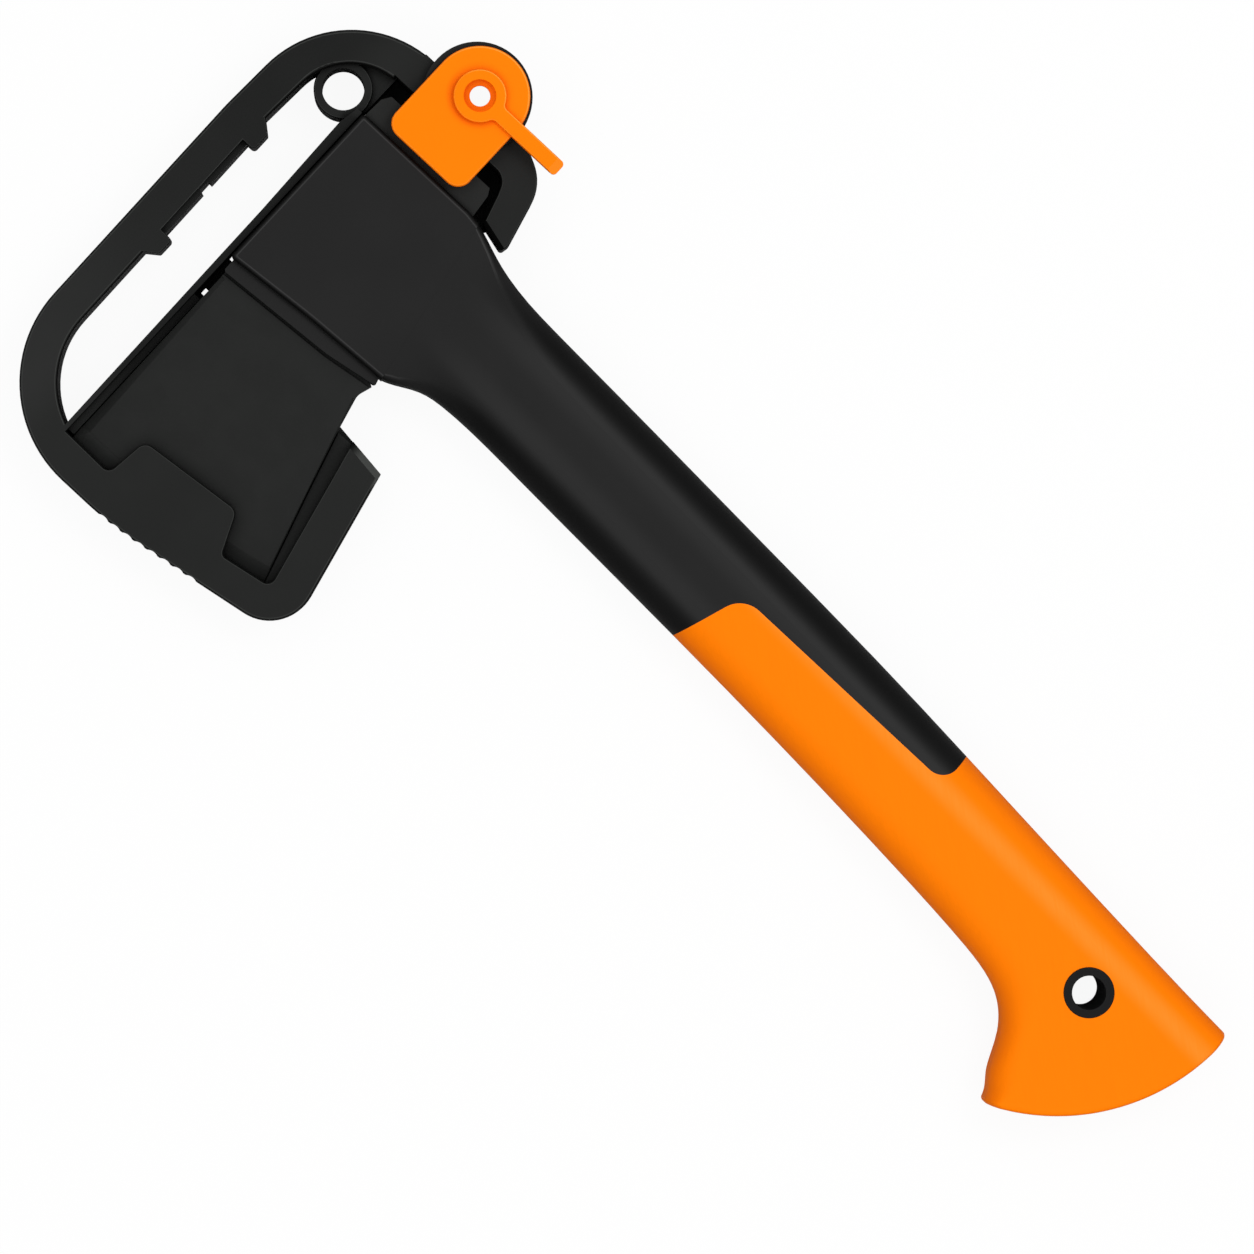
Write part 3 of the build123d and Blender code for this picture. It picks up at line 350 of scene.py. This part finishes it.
class HATCHET_OT_handle(bpy.types.Operator):
    """Finishes the head moulding and the handle, and the plug inside it"""

    bl_idname = "hatchet.handle"
    bl_label = "Handle"

    def neck_streaks(self, finish):
        """Slanted lighter streaks where the neck leaves the block."""
        x, y, _ = finish.from_pivot()
        slanted = finish.turned(-38.0, (3.2, 0.5, 1.0))
        near_neck = (1 - abs(x - 0.026).over(0.004, 0.018)) * (1 - abs(y + 0.045).over(0.006, 0.02))
        return finish.noise(0.0035, 4.0, 0.65, slanted).over(0.66, 0.78) * near_neck

    def execute(self, context):
        colour, sizes = context.scene.hatchet_colours.moulding, context.scene.hatchet_sizes
        finish = Finish("composite_moulding", Specular_IOR_Level=0.08)
        along, across, shaft, crown = across_handle(finish)
        wall, radius, lip = finish.edges()
        block = 1 - along.over(*BLOCK_END)
        radius = radius * block * (1 - wall * 0.6)
        grain = finish.noise(sizes.grain, 3.0, 0.6)
        cloud = finish.noise(0.03, 2.0)
        neck_streak = self.neck_streaks(finish)
        seam = finish.seam(finish.from_pivot()[2], 0.00008, 0.00022)
        share = abs(across)
        # Painted light and shade across the shaft: a painted sheen between the middle and the sides, and
        # painted shade on the sides.
        painted_sheen = share.over(0.1, 0.42) * (1 - share.over(0.48, 0.68)) * shaft
        side_shade = share.over(0.5, 0.84) * shaft * (1 - wall * 0.5)
        tone = finish.coats(
            finish.mix(cloud.over(0.3, 0.7), shade(colour, 0.95), shade(colour, 1.05)),
            (grain.over(0.35, 0.75) * 0.18 * (1 - shaft * 0.6), shade(colour, 1.5)),
            (painted_sheen * 0.5, shade(colour, 1.9)),
            (side_shade * 0.93, shade(colour, 0.05)),
            # Painted highlight on the line where the block's radii start, and painted shade on the radii.
            (lip * block * 0.7, shade(colour, 3.4)),
            (radius * 0.9, shade(colour, 0.12)),
            (neck_streak * 0.35, shade(colour, 2.6)),
            (seam * 0.4, shade(colour, 0.3)),
            # Painted shade in gaps and inner corners.
            (finish.crease(sizes.gap) * 0.9, shade(colour, 0.05)),
        )
        finish.feed(
            Base_Color=tone,
            Roughness=0.52 + grain * 0.08 - shaft * 0.1 - radius * 0.12 + neck_streak * 0.1,
            Normal=finish.bump((grain * (1 - shaft * 0.75) - seam * 0.8) * sizes.grain_depth + crown),
        )
        wear("handle_shell", finish)
        wear("butt_plug", moulded("plug_moulding", colour, sizes, 0.5))
        return {"FINISHED"}


class HATCHET_OT_blade(bpy.types.Operator):
    """Finishes the forged head: coated all over, ground along its edge"""

    bl_idname = "hatchet.blade"
    bl_label = "Blade"

    def execute(self, context):
        colour, sizes = context.scene.hatchet_colours.coating, context.scene.hatchet_sizes
        finish = Finish("coated_steel", Specular_IOR_Level=0.1)
        y = finish.parts(finish.place())[1]
        ground = 1 - (y - EDGE_LINE).over(*GRIND)
        speck = finish.noise(0.0006, 3.0, 0.65)
        hammered = finish.noise(0.009, 3.0, 0.5)
        lines = finish.noise(0.0011, 3.0, 0.6, finish.turned(0.0, (0.3, 8.0, 1.0)))
        tone = finish.coats(
            finish.mix(hammered.over(0.3, 0.7), shade(colour, 0.94), shade(colour, 1.06)),
            (speck.over(0.45, 0.8) * 0.25, shade(colour, 1.6)),
            (ground * (0.25 + lines * 0.3), shade(colour, 2.0)),
            # Painted shade in gaps and inner corners.
            (finish.crease(sizes.gap) * 0.85, shade(colour, 0.05)),
        )
        relief = speck * (1 - ground) * 0.7 + hammered * 2.0 + lines * ground
        finish.feed(
            Base_Color=tone,
            Roughness=0.46 + speck * 0.12 - ground * 0.1,
            Normal=finish.bump(relief * sizes.coat_depth),
        )
        wear("blade_head", finish)
        return {"FINISHED"}


class HATCHET_OT_grip(bpy.types.Operator):
    """Finishes the soft grip and the bush in it"""

    bl_idname = "hatchet.grip"
    bl_label = "Grip"

    def execute(self, context):
        colours, sizes = context.scene.hatchet_colours, context.scene.hatchet_sizes
        finish = Finish("soft_grip", Specular_IOR_Level=0.03)
        _, across, _, crown = across_handle(finish)
        streaks = finish.noise(sizes.streak, 2.0, 0.5, finish.turned(52.0, (1.0, 14.0, 1.0)))
        grain = finish.noise(sizes.grain * 0.7, 2.0, 0.6)
        seam = finish.seam(finish.from_pivot()[2], 0.0001, 0.0003)
        # Masks for painted shade on the sides and for a painted highlight band a third of the way towards
        # the poll.
        side = 1 - finish.facing().over(0.5, 0.95)
        crest_highlight = (1 - abs(across - 0.33).over(0.0, 0.26)) * (0.55 + streaks * 0.9)
        tone = finish.coats(
            finish.mix(streaks.over(0.35, 0.7) * 0.5, colours.grip, shade(colours.grip, 0.955)),
            # Painted shade on the sides and a painted highlight band over the crest.
            (side * 0.6, (1.0, 0.185, 0.0007)),
            (crest_highlight * 0.7, (1.0, 0.27, 0.024)),
            (seam * 0.3, shade(colours.grip, 0.7)),
            # Painted shade in gaps and inner corners.
            (finish.crease(sizes.gap) * 0.5, shade(colours.grip, 0.3)),
        )
        finish.feed(
            Base_Color=tone,
            Roughness=0.42 + streaks * 0.08,
            Normal=finish.bump((grain * 0.6 + streaks * 1.2 - seam) * sizes.grain_depth + crown),
        )
        wear("grip_sleeve", finish)
        wear("lanyard_bush", moulded("bush_moulding", colours.bush, sizes, 0.4, painted_edge_strength=0.3))
        return {"FINISHED"}


class HATCHET_OT_sheath(bpy.types.Operator):
    """Finishes the carry sheath"""

    bl_idname = "hatchet.sheath"
    bl_label = "Sheath"

    def slope(self, finish):
        """The sloped end of the guard, which is painted light."""
        x, y, _ = finish.from_pivot()
        facing = finish.facing()
        sloped = facing.over(0.45, 0.6) * (1 - facing.over(0.88, 0.95))
        guard = x.over(0.050, 0.056) * y.over(-0.1275, -0.1225)
        return sloped * guard

    def painted_shading(self, finish):
        """Painted shade and light: the carry bar is painted darker towards its top and lighter low down,
        and the strip by the head is painted dark as it lies in shade.
        """
        x, y, _ = finish.from_pivot()
        bar = 1 - x.over(-0.047, -0.030)
        strip = (1 - abs(x + 0.0275).over(0.0030, 0.0040)) * (1 - y.over(-0.036, -0.033))
        return (
            (bar * y.over(-0.150, -0.040) * 0.35, (0.0, 0.0, 0.0)),
            (strip * y.over(-0.165, -0.150) * 0.5, (0.0, 0.0, 0.0)),
            (bar * (1 - y.over(-0.180, -0.110)) * 0.3, (0.035, 0.035, 0.035)),
        )

    def execute(self, context):
        colours, sizes = context.scene.hatchet_colours, context.scene.hatchet_sizes
        finish = moulded(
            "sheath_moulding", colours.sheath, sizes, 0.55, painted_shading=self.painted_shading, slope=self.slope
        )
        wear("sheath_frame", finish)
        return {"FINISHED"}


class HATCHET_OT_latch(bpy.types.Operator):
    """Finishes the latch and the clip behind it"""

    bl_idname = "hatchet.latch"
    bl_label = "Latch"

    def plate(self, colour, sizes):
        """The latch's moulding, with painted highlights on its rims, painted shade on its walls, in its
        seat and in gaps, and a painted shadow round its raised ring.
        """
        finish = Finish("latch_moulding", Specular_IOR_Level=0.03)
        x, y, z = finish.from_pivot()
        spot = finish.node("ShaderNodeCombineXYZ", None, {0: x, 1: y})
        out = finish.node("ShaderNodeVectorMath", {"operation": "LENGTH"}, {0: spot}, output=1)
        seat = 1 - out.over(*SEAT)
        on_plate = 1 - (z - LATCH_TOP).over(*PLATE_FACE)
        shadow = (1 - out.over(*RING_SHADOW)) * on_plate * (1 - y.over(-0.006, 0.006) * 0.6)
        _, north, up = finish.parts(finish.place("Normal"))
        facing = abs(up)
        rim = (1 - facing.over(0.9, 0.995)) * facing.over(0.6, 0.85)
        wall = 1 - facing.over(0.2, 0.7)
        grain = finish.noise(sizes.grain * 0.8, 2.0, 0.6)
        cloud = finish.noise(0.012, 2.0)
        tone = finish.coats(
            finish.mix(cloud.over(0.3, 0.7) * 0.5, colour, shade(colour, 0.97)),
            # Painted highlight on the rims, strongest on those facing north, then painted shade on the
            # walls, a painted shadow round the ring, and painted shade in the seat and in gaps.
            (rim * (0.25 + north.over(0.0, 0.35) * 0.75), (1.0, 0.36, 0.05)),
            (wall * 0.5, (0.95, 0.15, 0.0006)),
            (shadow * 0.9, (0.78, 0.12, 0.0004)),
            (seat * 0.85, (0.78, 0.11, 0.0006)),
            (finish.crease(sizes.gap * 1.5) * 0.4, (0.9, 0.12, 0.0005)),
        )
        finish.feed(
            Base_Color=tone,
            Roughness=0.42 + grain * 0.1,
            Normal=finish.bump(grain * 0.5 * sizes.grain_depth),
        )
        return finish

    def spring(self, colour):
        """The clip's brushed steel."""
        finish = Finish("spring_steel", Metallic=1.0)
        brushed = finish.noise(0.0004, 3.0, 0.6, finish.turned(20.0, (1.0, 10.0, 1.0)))
        finish.feed(
            Base_Color=finish.mix(brushed, shade(colour, 0.85), colour),
            Roughness=0.25 + brushed * 0.15,
        )
        return finish

    def execute(self, context):
        colours, sizes = context.scene.hatchet_colours, context.scene.hatchet_sizes
        wear("latch", self.plate(colours.latch, sizes))
        wear("retaining_clip", self.spring(colours.clip))
        return {"FINISHED"}


class HATCHET_OT_stage(bpy.types.Operator):
    """Sets up the floor, the light and the camera"""

    bl_idname = "hatchet.stage"
    bl_label = "Stage"

    def execute(self, context):
        studio = context.scene.hatchet_studio
        self.floor(context)
        self.sky(context, studio)
        self.softbox(context, studio)
        self.camera(context, studio)
        context.scene.view_settings.view_transform = "Standard"
        return {"FINISHED"}

    def floor(self, context):
        """A wide floor that is seen nearly white, and gives less light than it shows."""
        half = 3.0
        mesh = bpy.data.meshes.new("floor")
        corners = [(-half, -half, 0), (half, -half, 0), (half, half, 0), (-half, half, 0)]
        mesh.from_pydata(corners, [], [(0, 1, 2, 3)])
        floor = bpy.data.objects.new("floor", mesh)
        context.scene.collection.objects.link(floor)
        finish = Finish("pale_floor", Roughness=0.9, Specular_IOR_Level=0.0, Emission_Strength=1.0)
        seen = finish.seen(0.03, 0.25)
        finish.feed(
            Base_Color=finish.mix(seen, (0.35, 0.35, 0.35), (0.06, 0.06, 0.06)),
            Emission_Color=finish.mix(seen, (0.0, 0.0, 0.0), (0.93, 0.93, 0.93)),
        )
        mesh.materials.append(finish.material)

    def sky(self, context, studio):
        """Even light from all round, a brighter ring high up, and a horizon that is seen white."""
        world = bpy.data.worlds.new("studio")
        context.scene.world = world
        world.use_nodes = True
        tree = Tree(world.node_tree)
        height = tree.parts(tree.node("ShaderNodeTexCoord", output="Generated"))[2]
        ring = height.over(0.66, 0.80) * (1 - height.over(0.93, 0.985))
        light = studio.sky + ring * studio.ring
        horizon = (1 - height.over(0.0, 0.12)) * tree.seen()
        shown = light + horizon * (1 - light)
        background = tree.nodes["Background"]
        background.inputs["Color"].default_value = (1, 1, 1, 1)
        tree.links.new(shown.socket, background.inputs["Strength"])

    def softbox(self, context, studio):
        """One square lamp high on the poll's side, turned to the hatchet."""
        lamp = bpy.data.lights.new("softbox", "AREA")
        lamp.shape, lamp.size, lamp.energy = "SQUARE", studio.lamp_size, studio.key
        box = bpy.data.objects.new("softbox", lamp)
        box.location = SOFTBOX_PLACE
        box.rotation_mode = "QUATERNION"
        box.rotation_quaternion = (-box.location).to_track_quat("-Z", "Y")
        context.scene.collection.objects.link(box)

    def camera(self, context, studio):
        """Looks down on the hatchet, turned so that the handle runs to the lower right."""
        lens = bpy.data.cameras.new("camera")
        camera = bpy.data.objects.new("camera", lens)
        context.scene.collection.objects.link(camera)
        middle = Vector((*VIEW_MIDDLE, MID_HEIGHT))
        eye = Vector((*CAMERA_FOOT, MID_HEIGHT + studio.view_height))
        back = (eye - middle).normalized()
        right = Vector((*PICTURE_RIGHT, 0))
        right = (right - right.dot(back) * back).normalized()
        rows = Matrix((right, back.cross(right), back)).transposed()
        camera.matrix_world = Matrix.Translation(eye) @ rows.to_4x4()
        lens.sensor_width = 36.0
        lens.lens = lens.sensor_width * (eye - middle).length / studio.view_width
        context.scene.camera = camera


class HATCHET_PT_panel(bpy.types.Panel):
    """Lists the pieces, and their sizes and colours"""

    bl_idname = "HATCHET_PT_panel"
    bl_label = "Sheathed Hatchet"
    bl_space_type = "VIEW_3D"
    bl_region_type = "UI"
    bl_category = "Hatchet"

    def draw(self, context):
        for operator in OPERATORS:
            self.layout.operator(operator.bl_idname)
        for group in GROUPS:
            box = self.layout.box()
            for name in group.__annotations__:
                box.prop(getattr(context.scene, GROUPS[group]), name)


OPERATORS = (
    HATCHET_OT_stage,
    HATCHET_OT_handle,
    HATCHET_OT_blade,
    HATCHET_OT_grip,
    HATCHET_OT_sheath,
    HATCHET_OT_latch,
)
GROUPS = {
    HatchetColours: "hatchet_colours",
    HatchetSizes: "hatchet_sizes",
    HatchetStudio: "hatchet_studio",
}


def register():
    for cls in (*GROUPS, *OPERATORS, HATCHET_PT_panel):
        bpy.utils.register_class(cls)
    for group, name in GROUPS.items():
        setattr(bpy.types.Scene, name, bpy.props.PointerProperty(type=group))


def unregister():
    for name in GROUPS.values():
        delattr(bpy.types.Scene, name)
    for cls in reversed((*GROUPS, *OPERATORS, HATCHET_PT_panel)):
        bpy.utils.unregister_class(cls)


def main():
    register()
    for operator in OPERATORS:
        group, name = operator.bl_idname.split(".")
        getattr(getattr(bpy.ops, group), name)()


if __name__ == "__main__":
    main()
